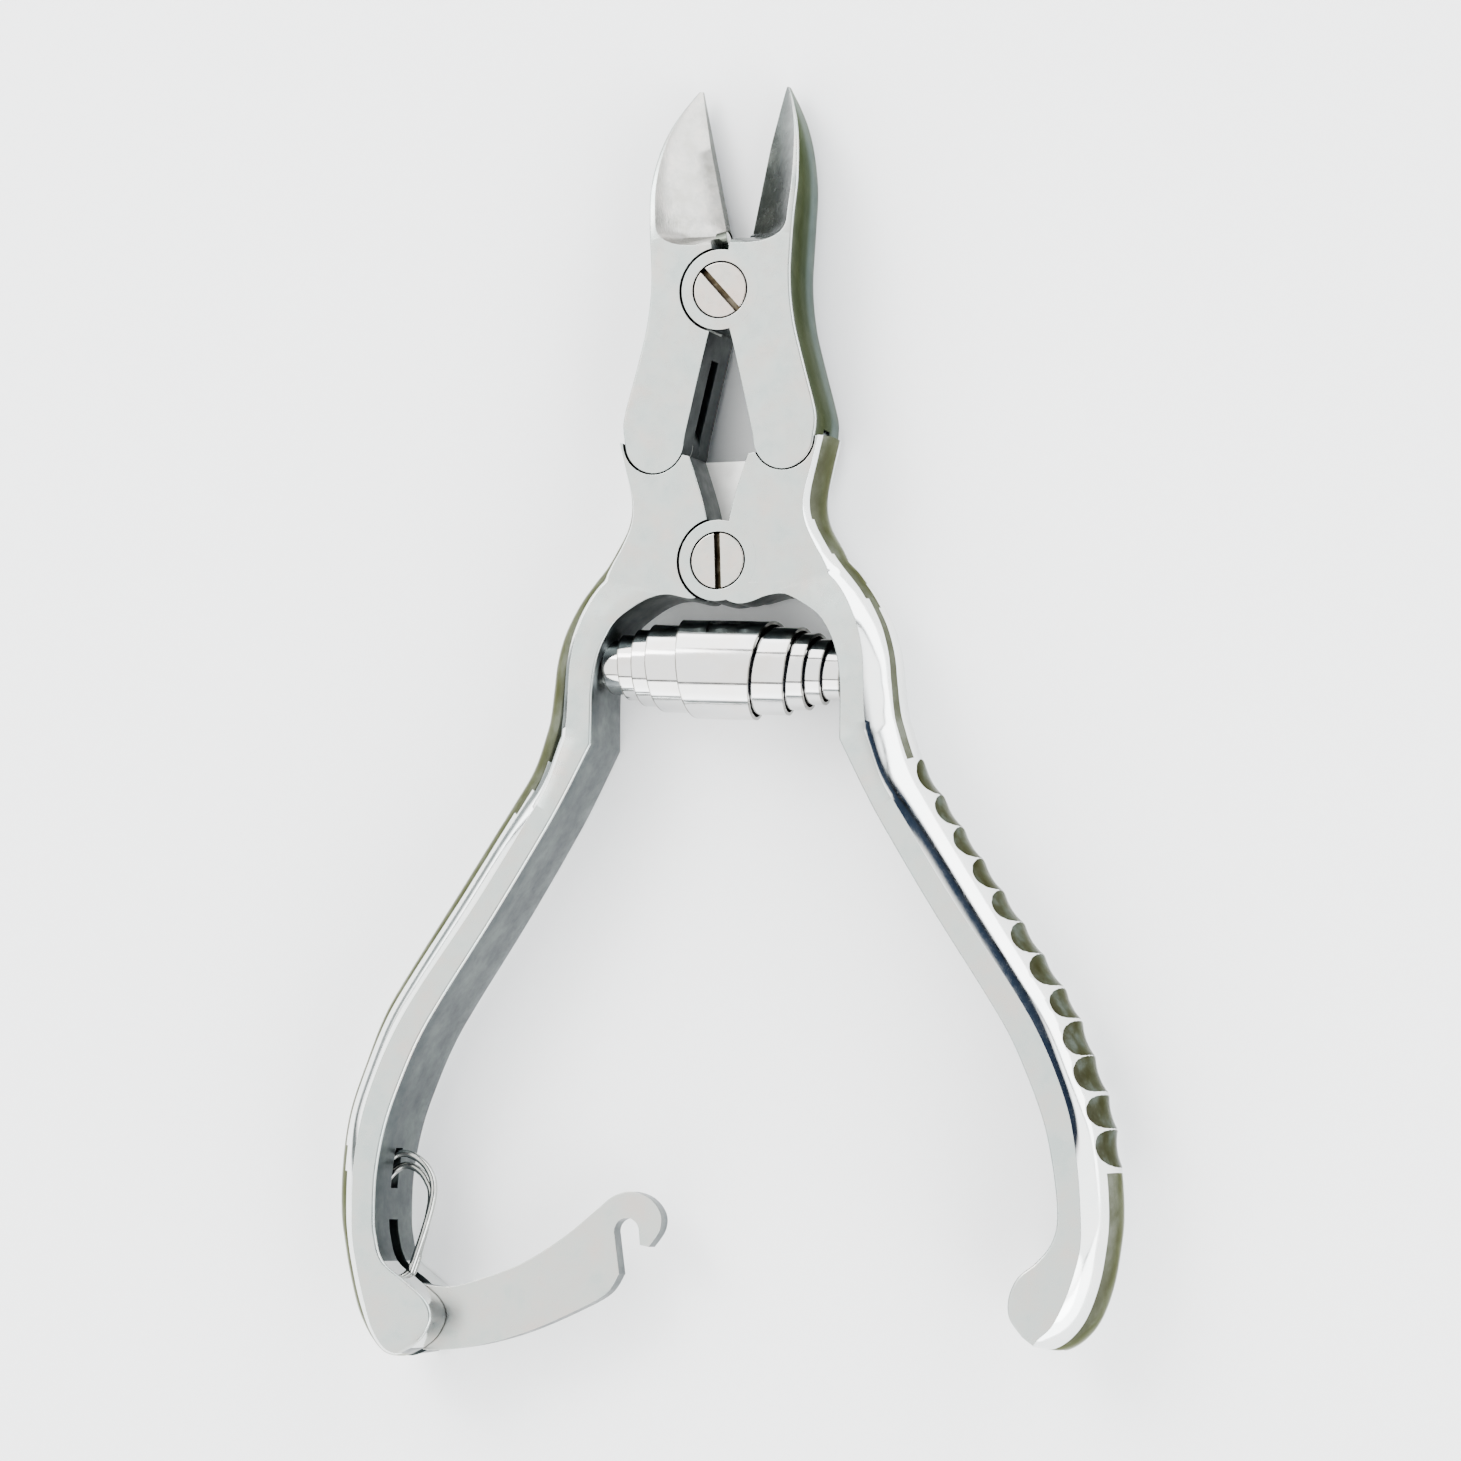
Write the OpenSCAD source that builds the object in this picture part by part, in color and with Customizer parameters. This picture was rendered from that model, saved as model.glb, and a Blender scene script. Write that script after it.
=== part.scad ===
// Double-action nail nipper, shown open, lying on the backs of its grips.
// X runs across the tool, Y towards the jaw tips and Z up out of its front.
// The origin is on the handle pivot's axis, at the back face of the box.

/* [Joints] */
// Distance from the handle pivot to the jaw pivot with the tool open
pivot_gap = 29.4; // [28.4:0.1:30.4]
// Distance of each knuckle from the tool's middle line
knuckle_x = 7.4; // [7.2:0.1:7.6]
// Distance of each knuckle above the handle pivot
knuckle_y = 13.1; // [13:0.05:13.3]
// Turn of each jaw from open to closed, in degrees
jaw_swing = 11.7; // [11:0.1:12]
// Radial gap between a pivot's shank and the bore that turns on it
pivot_clearance = 0.08; // [0.07:0.01:0.1]

/* [Box] */
// Thickness of the jaws and of the handle tops
box_t = 8; // [7.5:0.1:8.5]
// Radius of the round boss at both screws
boss_r = 4.4; // [4.2:0.1:4.6]
// Gap round a boss and round a knuckle
joint_gap = 0.18; // [0.15:0.01:0.25]
// Gap between the front and the back lap
lap_gap = 0.1; // [0.06:0.02:0.16]
// Radius of a pivot screw's head
head_r = 3; // [2.8:0.1:3.1]
// Depth of a pivot screw's head
head_t = 1.3; // [1:0.1:1.6]
// Radius of a pivot screw's shank
shank_r = 1.8; // [1.5:0.1:2]
// Width of the screwdriver slot
slot_w = 0.65; // [0.5:0.05:0.8]
// Radius of the rounded jaw end in its socket
knuckle_r = 3.4; // [3.2:0.05:3.4]
// Thickness of the tongue inside the knuckle
tongue_t = 1.9; // [1.6:0.1:2.2]
// Radius of the knuckle pins
pin_r = 1.2; // [1:0.1:1.3]

/* [Jaws] */
// Length of the cutting edge's end from the jaw pivot
tip_reach = 23.9; // [23:0.1:24.5]
// Distance from the jaw pivot to the end of the hollow grind
hollow_start = 4.2; // [4:0.1:4.4]
// Depth of the land behind the cutting edge
land_depth = 1.5; // [1.2:0.1:1.8]
// Radius of the curve that thins the jaws towards the tip
thinning_r = 24; // [23:0.5:26]

/* [Handles] */
// Thickness of the grips
grip_t = 11; // [10.5:0.1:11]
// Number of grooves across the right grip
groove_count = 12; // [8:1:12]
// Distance from groove to groove
groove_pitch = 4.05; // [3.9:0.05:4.3]
// Radius of a groove
groove_r = 3.2; // [3:0.1:3.6]
// Depth of a groove
groove_depth = 0.9; // [0.6:0.1:1]

/* [Spring] */
// Distance of the barrel spring's axis below the handle pivot
spring_y = 11.3; // [10.8:0.1:11.8]
// Largest radius of the barrel spring
spring_r = 5.35; // [5:0.05:5.5]
// Height of each step of the rolled strip
spring_step = 0.6; // [0.5:0.05:0.65]
// Radius of the studs that hold the spring's ends
stud_r = 1.7; // [1.4:0.1:1.8]

/* [Latch] */
// Thickness of the hook plate
latch_t = 2; // [1.8:0.1:2.1]
// Thickness of the slots that take the hook plate
latch_slot_t = 2.5; // [2.4:0.1:2.8]
// Radius of the pin that the hook drops over
catch_r = 1.2; // [1:0.1:1.25]
// Thickness of the latch spring's wire
wire_d = 0.8; // [0.7:0.05:0.9]

/* [Hidden] */
$fn = 48;
mid = box_t / 2;
jaw_pivot = [0, pivot_gap];
knuckle = [knuckle_x, knuckle_y];
left_latch_pivot = [-35, -81.1];
catch_at = [35.2, -79.8];
hook_at = [-10.75, -71.85];
lap_low = mid - lap_gap / 2;
lap_high = mid + lap_gap / 2;
web_t = 2.6;
tongue_gap = 0.2;
fork_t = tongue_t + tongue_gap;
arm_slot_at = [3.5, 15.4];
arm_slot_turn = 12.9;
arm_slot_depth = 2.2;
end_gap = 0.1;
turn_gap = 0.3;
blind_wall = 1.3;
blind_z = mid + grip_t / 2 - 1.6;
handle_slot_angle = 92;
jaw_slot_angle = -48;
edge_gap = 0.02;
skim = 0.04;
tip_t = 0.15;
thin_from = 6.6;
rim_share = 0.88;
hollow_sag = 0.13;
stop_y = 6.1;
stop_drop = 0.6;
stop_r = 1.15;
stop_root = 1.6;
stop_reach = 0.65;
stop_gap = 0.25;
seat_x = 14;
seat_r = 3.2;
seat_depth = 3;
tenon_r = 1.1;
tenon_l = 2;
stud_l = 2.4;
spring_wall = 0.75;
spring_steps = [4.1, 6.8, 9.3, 11.7, 13.85];
latch_eye_r = 3.45;
hook_clear_r = 4.9;
mouth_gap = 0.22;
wire_slot_gap = 0.3;
groove_from = 6.4;
wire_points = [
    [-40.4, -66.6], [-39.5, -65.2], [-38.4, -64.1], [-37.1, -63.6], [-35.7, -63.95],
    [-34.5, -64.8], [-33.7, -66], [-33.4, -67.4], [-33.65, -69.2], [-34.4, -71.8],
    [-35.4, -74.7], [-36.05, -76.5]
];
socket_r = knuckle_r + joint_gap;
recess_r = boss_r + joint_gap;
tall = 3 * box_t;
steps_per_row = 2;

// Plan outline of the right handle's flat top, from the knuckle socket to the arch.
top_outline = [
    [3.35, 11.4], [2.5, 8.9], [1.7, 6.3], [1.2, 3.8], [1.2, 1], [1.5, -2.2], [2.6, -4.05],
    [5.6, -3.55], [7.4, -3.75], [15.1, -2.2], [14.3, -1.15], [13.5, -0.3], [12.6, 1], [11.5, 3],
    [10.9, 4.7], [10.7, 6.3], [10.95, 8.9], [11.5, 11.3], [12, 13.3]
];
// Rows of a handle: inner x and y, outer x and y, width of the front flat, thickness.
// The arch runs from inside the flat top to the corner of the inner wall.
arch_rows = [
    [4.0, -3.2, 13.9, -0.8, 9.0, box_t - 0.3],
    [6.0, -3.4, 14.9, -1.4, 7.4, box_t - 0.2],
    [7.6, -3.75, 15.6, -2.2, 6.0, box_t + 0.1],
    [9.6, -4.8, 16.5, -3.5, 4.8, 8.3],
    [11.6, -6.3, 17.6, -5.3, 3.7, 8.6],
    [12.9, -8.4, 18.7, -7.6, 3.2, 8.8],
    [13.7, -10.8, 19.5, -10.5, 2.9, 9.0],
    [14.05, -13.5, 19.85, -13.5, 2.7, 9.2],
    [14.1, -16.5, 20.2, -16.2, 2.75, 9.3],
    [14.1, -19.6, 20.6, -17.8, 3.0, 9.5]
];
// The grip runs from that corner to just above the end of the handle.
grip_rows = [
    [14.1, -19.6, 20.6, -17.8, 3.0, 9.5],
    [16.9, -25.0, 21.9, -21.9, 2.3, 9.9],
    [19.3, -29.2, 24.3, -26.0, 2.4, 10.2],
    [24.8, -38.0, 29.9, -34.6, 2.5, 10.7],
    [30.5, -46.6, 35.7, -43.4, 2.8, grip_t],
    [33.3, -51.2, 38.7, -48.3, 2.9, grip_t],
    [35.4, -55.8, 40.8, -53.5, 3.0, grip_t],
    [37.1, -60.5, 42.8, -58.9, 2.9, grip_t],
    [38.1, -65.5, 43.8, -64.6, 2.7, grip_t]
];
foot_rows = [
    [38.5, -70.0, 44.1, -69.8, 2.6, grip_t],
    [37.9, -72.6, 43.7, -73.6, 3.2, grip_t],
    [36.3, -74.6, 43.0, -77.2, 4.3, grip_t],
    [34.3, -76.2, 41.7, -80.6, 5.7, grip_t],
    [33.3, -78.2, 40.0, -82.7, 5.6, grip_t],
    [33.3, -80.4, 38.1, -83.8, 3.9, grip_t],
    [34.6, -82.3, 36.5, -83.7, 1.7, grip_t]
];
fork_rows = [
    [38.3, -70.0, 43.9, -69.8, 2.6, grip_t],
    [38.1, -72.6, 43.3, -73.6, 2.7, grip_t],
    [37.2, -75.3, 42.7, -76.6, 3.1, grip_t],
    [34.6, -77.4, 41.6, -80.6, 5.2, grip_t],
    [32.2, -79.4, 40.1, -83.3, 6.9, grip_t],
    [31.5, -81.3, 38.3, -85.2, 6.4, grip_t],
    [32.4, -83.3, 36.6, -85.6, 3.9, grip_t],
    [33.9, -84.6, 35.3, -85.3, 1.2, grip_t]
];
// Rows of a blade, closed: distance from the jaw pivot, outer x.
blade_rows = [
    [hollow_start, 7.2], [9.1, 6.55], [13.1, 5.9], [16.9, 4.7],
    [19.7, 3.4], [21.9, 1.95], [tip_reach, 0.35]
];

// A point between b and c on the curve through a, b, c and d.
function curve_point(a, b, c, d, t) =
    0.5 * (2 * b + (c - a) * t + (2 * a - 5 * b + 4 * c - d) * t * t
    + (3 * b - a - 3 * c + d) * t * t * t);
// Rows filled in along the smooth curve through them.
function smooth(rows, count) = let (last = len(rows) - 1) [
    for (i = [0 : last - 1], k = [0 : count - 1])
        curve_point(rows[max(i - 1, 0)], rows[i], rows[i + 1], rows[min(i + 2, last)], k / count),
    rows[last]
];
function joined(a, b) = [for (list = [a, b], row = list) row];
// Distance along a line of points to each of them.
function run_lengths(points) = [
    for (i = 0, s = 0; i < len(points); i = i + 1, s = s + norm(points[min(i, len(points) - 1)]
        - points[i - 1])) s
];

// Section of a handle as [distance from the inner wall, height]: a flat inner wall,
// flat front and back, and a crowned outer side.
function grip_section(flat, width, h, chamfer = 0.4) = let (crown = width - flat) [
    [0, -h + chamfer], [0, h - chamfer], [chamfer, h], [flat, h],
    for (a = [28, 52, 72, 90, 108, 128, 152]) [flat + crown * sin(a), h * cos(a)],
    [flat, -h], [chamfer, -h]
];
function handle_ring(row) = let (
        inner = [row[0], row[1]],
        across = [row[2], row[3]] - inner,
        width = norm(across)
    ) [
        for (p = grip_section(min(row[4], width * 0.92), width, row[5] / 2))
            concat(inner + across * p[0] / width, [p[1]])
    ];
// Section of a blade at a distance from the jaw pivot, as [x, height] from the mid-plane.
function blade_ring(y, x_out) = let (
        base = skim - mid,
        top = mid - skim - thinning_r + sqrt(pow(thinning_r, 2) - pow(max(y - thin_from, 0), 2)),
        land = min(land_depth - mid, top - tip_t),
        rim = x_out * rim_share
    ) [
        for (p = [
            [0, base],
            for (t = [0 : 1 / 6 : 1]) [
                rim * t + hollow_sag * (top - land) * 4 * t * (1 - t),
                land + (top - land) * t - hollow_sag * rim * 4 * t * (1 - t)
            ],
            [x_out * 0.97, top], [x_out, (top - mid) / 2], [x_out * 0.97, base]
        ]) [p[0], y, max(p[1], base)]
    ];

// Solid skinned over closed rings that all have the same number of points. Seen from its
// far end, each ring runs anticlockwise.
module skin(rings) {
    n = len(rings[0]);
    last = len(rings) - 1;
    points = [for (ring = rings, p = ring) p];
    sides = [
        for (i = [0 : last - 1], j = [0 : n - 1])
            let (a = i * n + j, b = i * n + (j + 1) % n)
                each [[a, a + n, b], [b, a + n, b + n]]
    ];
    caps = [[for (j = [0 : n - 1]) j], [for (j = [n - 1 : -1 : 0]) last * n + j]];
    polyhedron(points, concat(sides, caps));
}

module at(p, z = 0) {
    translate([p[0], p[1], z]) children();
}
module disc(p, r, z0, z1) {
    at(p, z0) cylinder(r = r, h = z1 - z0);
}
module through(p, r) {
    disc(p, r, -tall, tall);
}

// The bar of the right handle, from the arch to its end.
module handle_bar(end_rows) {
    upper = smooth(arch_rows, steps_per_row);
    lower = smooth(joined(grip_rows, end_rows), steps_per_row);
    rows = joined(upper, [for (i = [1 : len(lower) - 1]) lower[i]]);
    translate([0, 0, mid]) skin([for (i = [len(rows) - 1 : -1 : 0]) handle_ring(rows[i])]);
}
// The flat top: socket for the jaw's cheeks, tongue between them, and this handle's boss.
// own holds the heights of this handle's lap, other those of the lap it turns on.
module handle_top(own, other) {
    difference() {
        linear_extrude(box_t) polygon(top_outline);
        disc(knuckle, socket_r, -1, mid - tongue_t / 2);
        disc(knuckle, socket_r, mid + tongue_t / 2, box_t + 1);
        disc([0, 0], recess_r, other[0], other[1]);
    }
    disc([0, 0], boss_r, own[0], own[1]);
    disc(knuckle, knuckle_r, mid - tongue_t / 2, mid + tongue_t / 2);
}
module handle(end_rows, own, other) {
    difference() {
        union() {
            handle_top(own, other);
            handle_bar(end_rows);
        }
        through(knuckle, pin_r + pivot_clearance);
        translate([seat_x, -spring_y, mid]) rotate([0, 90, 0]) cylinder(r = tenon_r, h = tenon_l);
        translate([seat_x, -spring_y, mid]) rotate([0, -90, 0]) cylinder(r = seat_r, h = seat_depth);
    }
}
// Grooves cut across the crown of the right grip, evenly spaced along it.
module grip_grooves() {
    crest = [for (row = smooth(grip_rows, 6)) [row[2], row[3]]];
    along = run_lengths(crest);
    x_at = [for (i = [0 : len(crest) - 1]) [along[i], crest[i][0]]];
    y_at = [for (i = [0 : len(crest) - 1]) [along[i], crest[i][1]]];
    for (k = [0 : groove_count - 1]) {
        s = groove_from + k * groove_pitch;
        p = [lookup(s, x_at), lookup(s, y_at)];
        ahead = [lookup(s + 0.5, x_at), lookup(s + 0.5, y_at)] - p;
        outward = [-ahead[1], ahead[0]] / norm(ahead);
        through(p + outward * (groove_r - groove_depth), groove_r);
    }
}
// Slot in the middle of a handle's thickness, over a plan outline.
module middle_slot(outline, thickness) {
    translate([0, 0, mid - thickness / 2]) linear_extrude(thickness) polygon(outline);
}

module left_handle() {
    color("#c9cbc6") difference() {
        union() {
            mirror([1, 0, 0]) handle(fork_rows, [0, lap_low], [lap_low, box_t + 1]);
            linear_extrude(web_t)
                polygon([[-3.6, 11.4], [-1.6, 3.4], [1.05, 4.3], [1.5, 6.3], [2.3, 8.9], [3.1, 11.4]]);
        }
        through([0, 0], shank_r);
        middle_slot(
            [[-39.9, -70.8], [-38.7, -81], [-37.6, -88], [-27, -88], [-27, -70.8]],
            latch_slot_t
        );
        middle_slot([[-41, -63], [-41, -67.4], [-36, -67.4], [-36, -63]], 2 * wire_d + wire_slot_gap);
        disc(left_latch_pivot, pin_r, -tall, blind_z);
    }
}
module right_handle() {
    color("#c9cbc6") difference() {
        handle(foot_rows, [lap_high, box_t], [-1, lap_high]);
        through([0, 0], shank_r + pivot_clearance);
        disc([0, 0], head_r + pivot_clearance, box_t - head_t - end_gap, box_t + 1);
        grip_grooves();
        middle_slot([[26, -90], [36, -90], [36, -74.5], [26, -74.5]], latch_slot_t);
        disc(catch_at, hook_clear_r, mid - latch_slot_t / 2, mid + latch_slot_t / 2);
        disc(catch_at, catch_r, -tall, blind_z);
    }
}

// Plate, rounded end, fork slot and blade of the right jaw.
module jaw(own, other) {
    difference() {
        union() {
            difference() {
                union() {
                    linear_extrude(box_t) polygon([
                        [3.9, 13.6], [3.5, 15.4], [2.4, 20.1], [1.45, 24.5], [0.8, 26.5], [0.6, 31],
                        [0.6, 33.2], [1.2, 34.4], [8, 33.05], [7.95, 31], [8.1, 28], [8.6, 24.8],
                        [9.9, 19.9], [11.05, 15.4], [11.05, 14.1], [10.8, 13.1]
                    ]);
                    disc(knuckle, knuckle_r, 0, box_t);
                    at(jaw_pivot, mid) rotate([0, 0, -jaw_swing]) translate([edge_gap, 0, 0])
                        skin([for (row = smooth(blade_rows, 3)) blade_ring(row[0], row[1])]);
                }
                disc(jaw_pivot, recess_r, other[0], other[1]);
            }
            disc(jaw_pivot, boss_r, own[0], own[1]);
        }
        disc(knuckle, knuckle_r + turn_gap, mid - fork_t / 2, mid + fork_t / 2);
        at(arm_slot_at, mid - fork_t / 2) rotate([0, 0, arm_slot_turn])
            translate([-1, -3, 0]) cube([arm_slot_depth + 1, 10, fork_t]);
        disc(knuckle, pin_r, -1, box_t - blind_wall);
    }
}
// Stub that stops the blades, on the left jaw, and its pocket in the right one.
module stop_stub(r, from, to) {
    translate([from, stop_y, mid - stop_drop]) rotate([0, 90, 0]) cylinder(r = r, h = to - from);
}
module left_jaw() {
    color("#d2d3cf") difference() {
        union() {
            mirror([1, 0, 0]) jaw([0, lap_low], [lap_low, box_t + 1]);
            at(jaw_pivot) rotate([0, 0, jaw_swing]) stop_stub(stop_r, -stop_root, stop_reach);
        }
        through(jaw_pivot, shank_r);
    }
}
module right_jaw() {
    color("#d2d3cf") difference() {
        jaw([lap_high, box_t], [-1, lap_high]);
        through(jaw_pivot, shank_r + pivot_clearance);
        disc(jaw_pivot, head_r + pivot_clearance, box_t - head_t - end_gap, box_t + 1);
        at(jaw_pivot) rotate([0, 0, -jaw_swing])
            stop_stub(stop_r + stop_gap, -stop_gap, stop_reach + stop_gap);
    }
}

// Flush slotted screw; its head sinks into the front lap and its end fills the back lap.
module pivot_screw(p, slot_angle) {
    color("#d3c8bc") difference() {
        union() {
            disc(p, shank_r, 0, box_t);
            disc(p, head_r, box_t - head_t, box_t);
        }
        at(p, box_t - slot_w) rotate([0, 0, slot_angle])
            translate([-head_r - 1, -slot_w / 2, 0]) cube([2 * head_r + 2, slot_w, 1]);
    }
}
module handle_pivot_screw() {
    pivot_screw([0, 0], handle_slot_angle);
}
module jaw_pivot_screw() {
    pivot_screw(jaw_pivot, jaw_slot_angle);
}
module knuckle_pin() {
    color("silver") disc(knuckle, pin_r, end_gap / 2, box_t - blind_wall - end_gap);
}
module right_knuckle_pin() {
    knuckle_pin();
}
module left_knuckle_pin() {
    mirror([1, 0, 0]) knuckle_pin();
}

// Rolled strip between the handles, as one stepped tube.
module barrel_spring() {
    half = concat([0], spring_steps);
    last = len(half) - 1;
    outer = [
        for (i = [1 : last], x = [half[i - 1], half[i]]) [spring_r - (i - 1) * spring_step, x]
    ];
    inner = [for (i = [len(outer) - 1 : -1 : 0]) outer[i] - [spring_wall, 0]];
    color("#dfe2e2") translate([0, -spring_y, mid]) for (side = [0, 1]) mirror([side, 0, 0])
        rotate([0, 90, 0]) rotate_extrude() polygon(concat(outer, inner));
}
module spring_stud() {
    color("silver") translate([seat_x, -spring_y, mid]) {
        rotate([0, 90, 0]) cylinder(r = tenon_r, h = tenon_l - end_gap);
        rotate([0, -90, 0]) cylinder(r = stud_r, h = stud_l);
    }
}
module right_spring_stud() {
    spring_stud();
}
module left_spring_stud() {
    mirror([1, 0, 0]) spring_stud();
}

module latch_hook() {
    top = smooth([
        [-35, -77.7], [-31.2, -78], [-27.5, -77.1], [-22.8, -75.4], [-18.05, -72.6], [-14.1, -69.5],
        [-12.3, -68.1], [-10.3, -67.6], [-8.2, -68.3], [-6.9, -69.9], [-6.95, -71.7], [-8.2, -73.5]
    ], 3);
    mouth = [for (a = [0 : 20 : 180]) hook_at + (catch_r + mouth_gap) * [cos(a), sin(a)]];
    bottom = smooth([
        [-11.55, -76.4], [-13.1, -78.6], [-16.9, -80.6], [-22.1, -82.75], [-27.4, -84.2],
        [-32.8, -84.9], [-35, -84.6]
    ], 3);
    color("#d0d0cb") difference() {
        translate([0, 0, mid - latch_t / 2]) {
            linear_extrude(latch_t) polygon(concat(top, [[-9.2, -73.3]], mouth, bottom));
            at(left_latch_pivot) cylinder(r = latch_eye_r, h = latch_t);
        }
        through(left_latch_pivot, pin_r + pivot_clearance);
    }
}
module latch_pin() {
    color("silver") disc(left_latch_pivot, pin_r, mid - grip_t / 2 + 2 * end_gap, blind_z - end_gap);
}
module catch_pin() {
    color("silver") disc(catch_at, catch_r, mid - grip_t / 2 + 4 * end_gap, blind_z - end_gap);
}

// Round wire along a plan route.
module wire(route, z) {
    last = len(route) - 1;
    translate([0, 0, z]) skin([
        for (i = [0 : last]) let (
            ahead = route[min(i + 1, last)] - route[max(i - 1, 0)],
            across = [-ahead[1], ahead[0]] / norm(ahead)
        ) [
            for (a = [0 : 45 : 315])
                concat(route[i] + across * cos(a) * wire_d / 2, [sin(a) * wire_d / 2])
        ]
    ]);
}
// A hairpin of wire: two strands side by side, joined by a bend at the lower end.
module latch_spring() {
    route = smooth(wire_points, 2);
    end = route[len(route) - 1];
    way = end - route[len(route) - 2];
    apart = wire_d / 2 + 0.05;
    color("#cfcfca") {
        wire(route, mid + apart);
        wire(route, mid - apart);
        at(end, mid) rotate([0, 0, atan2(way[1], way[0]) - 90]) rotate([0, -90, 0])
            rotate_extrude(angle = 180) translate([apart, 0]) circle(d = wire_d, $fn = 16);
    }
}

left_handle();
right_handle();
left_jaw();
right_jaw();
handle_pivot_screw();
jaw_pivot_screw();
left_knuckle_pin();
right_knuckle_pin();
barrel_spring();
left_spring_stud();
right_spring_stud();
latch_hook();
latch_pin();
latch_spring();
catch_pin();
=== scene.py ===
"""Looks of the double-action nail nipper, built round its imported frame.

Lengths in this script are millimetres until a piece is finished; put_in() turns them into metres.
X runs across the tool, Y towards the jaw tips, Z up out of its front, as in the frame.
"""

import math

import bmesh
import bpy
from mathutils import Matrix, Vector


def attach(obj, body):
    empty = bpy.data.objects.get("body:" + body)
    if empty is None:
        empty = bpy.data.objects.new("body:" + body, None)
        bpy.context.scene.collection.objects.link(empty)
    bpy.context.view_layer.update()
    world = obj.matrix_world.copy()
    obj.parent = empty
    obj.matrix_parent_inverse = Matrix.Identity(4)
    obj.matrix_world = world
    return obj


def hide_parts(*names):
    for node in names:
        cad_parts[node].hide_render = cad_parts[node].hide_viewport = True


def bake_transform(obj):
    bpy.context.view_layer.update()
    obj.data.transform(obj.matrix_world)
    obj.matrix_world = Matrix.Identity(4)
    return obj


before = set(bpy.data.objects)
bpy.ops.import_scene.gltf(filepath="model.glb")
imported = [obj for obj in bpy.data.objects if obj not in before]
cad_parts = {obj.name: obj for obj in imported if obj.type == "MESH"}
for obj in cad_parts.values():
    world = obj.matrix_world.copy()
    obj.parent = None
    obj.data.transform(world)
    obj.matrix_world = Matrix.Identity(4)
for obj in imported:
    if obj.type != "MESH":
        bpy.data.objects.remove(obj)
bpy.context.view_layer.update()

MM = 0.001

# The box round the two pivots: its thickness, the height of its middle, and its two laps.
BOX_T = 8.0
MID = 4.0
LAP = 4.0
LAP_GAP = 0.1
# Bosses stand this little out of the flats, as a boolean goes wrong on two faces in one plane.
PROUD = 0.004
BACK_LAP = (-PROUD, LAP - LAP_GAP / 2)
FRONT_LAP = (LAP + LAP_GAP / 2, BOX_T + PROUD)
# Heights that clear a part at its back and its front, for cutters that go right through.
UNDER = -2
OVER = 12
UNDER_FRONT_LAP = (-1, LAP + LAP_GAP / 2)
OVER_BACK_LAP = (LAP - LAP_GAP / 2, OVER)

PIVOT = (0.0, 0.0)
JAW_PIVOT = (0.0, 29.4)
KNUCKLE = (7.4, 13.1)
LATCH_PIVOT = (-35.0, -81.1)
CATCH = (35.2, -79.8)
HOOK = (-10.75, -71.85)
# Turn of each jaw from closed to open.
SWING = math.radians(11.7)

BOSS_R = 4.37
RECESS_R = 4.66
KNUCKLE_R = 3.4
SOCKET_R = 3.58
TONGUE_T = 1.9
FORK_T = 2.1
SHANK_R = 1.8
HEAD_R = 3.0
HEAD_T = 1.3
HEAD_SEAT_Z = BOX_T - HEAD_T - 0.1
HEAD_GAP = 0.15
RUN_GAP = 0.08
PIN_R = 1.2
PLATE_T = 2.0
SPRING_Y = -11.3
SEAT_X = 14.0
STUD_R = 1.1

# ---------------------------------------------------------------- materials


def links(mat):
    tree = mat.node_tree
    return tree.nodes, tree.links


def noise(nodes, link, vector, scale, detail=4.0, stretch=(1, 1, 1), turn=0.0):
    """Noise over the piece's own coordinates, in metres; scale is in features per metre."""
    mapping = nodes.new("ShaderNodeMapping")
    mapping.inputs["Scale"].default_value = stretch
    mapping.inputs["Rotation"].default_value = (0, 0, turn)
    link.new(vector, mapping.inputs["Vector"])
    tex = nodes.new("ShaderNodeTexNoise")
    tex.inputs["Scale"].default_value = scale
    tex.inputs["Detail"].default_value = detail
    tex.inputs["Roughness"].default_value = 0.62
    link.new(mapping.outputs["Vector"], tex.inputs["Vector"])
    return tex.outputs["Fac"]


def ramp(nodes, link, fac, stops):
    node = nodes.new("ShaderNodeValToRGB")
    elements = node.color_ramp.elements
    while len(elements) < len(stops):
        elements.new(0.5)
    for element, (place, colour) in zip(elements, stops):
        element.position = place
        element.color = (*colour, 1.0)
    link.new(fac, node.inputs["Fac"])
    return node.outputs["Color"]


def span(nodes, link, fac, low, high, lo_in=0.3, hi_in=0.7):
    node = nodes.new("ShaderNodeMapRange")
    node.inputs["From Min"].default_value = lo_in
    node.inputs["From Max"].default_value = hi_in
    node.inputs["To Min"].default_value = low
    node.inputs["To Max"].default_value = high
    link.new(fac, node.inputs["Value"])
    return node.outputs["Result"]


def multiply(nodes, link, first, second):
    mix = nodes.new("ShaderNodeMix")
    mix.data_type = "RGBA"
    mix.blend_type = "MULTIPLY"
    mix.inputs["Factor"].default_value = 1.0
    link.new(first, mix.inputs["A"])
    link.new(second, mix.inputs["B"])
    return mix.outputs["Result"]


def patchy(low, middle, high):
    """Ramp stops for three tints that run into each other in patches."""
    return [(0.36, low), (0.5, middle), (0.64, high)]


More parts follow.
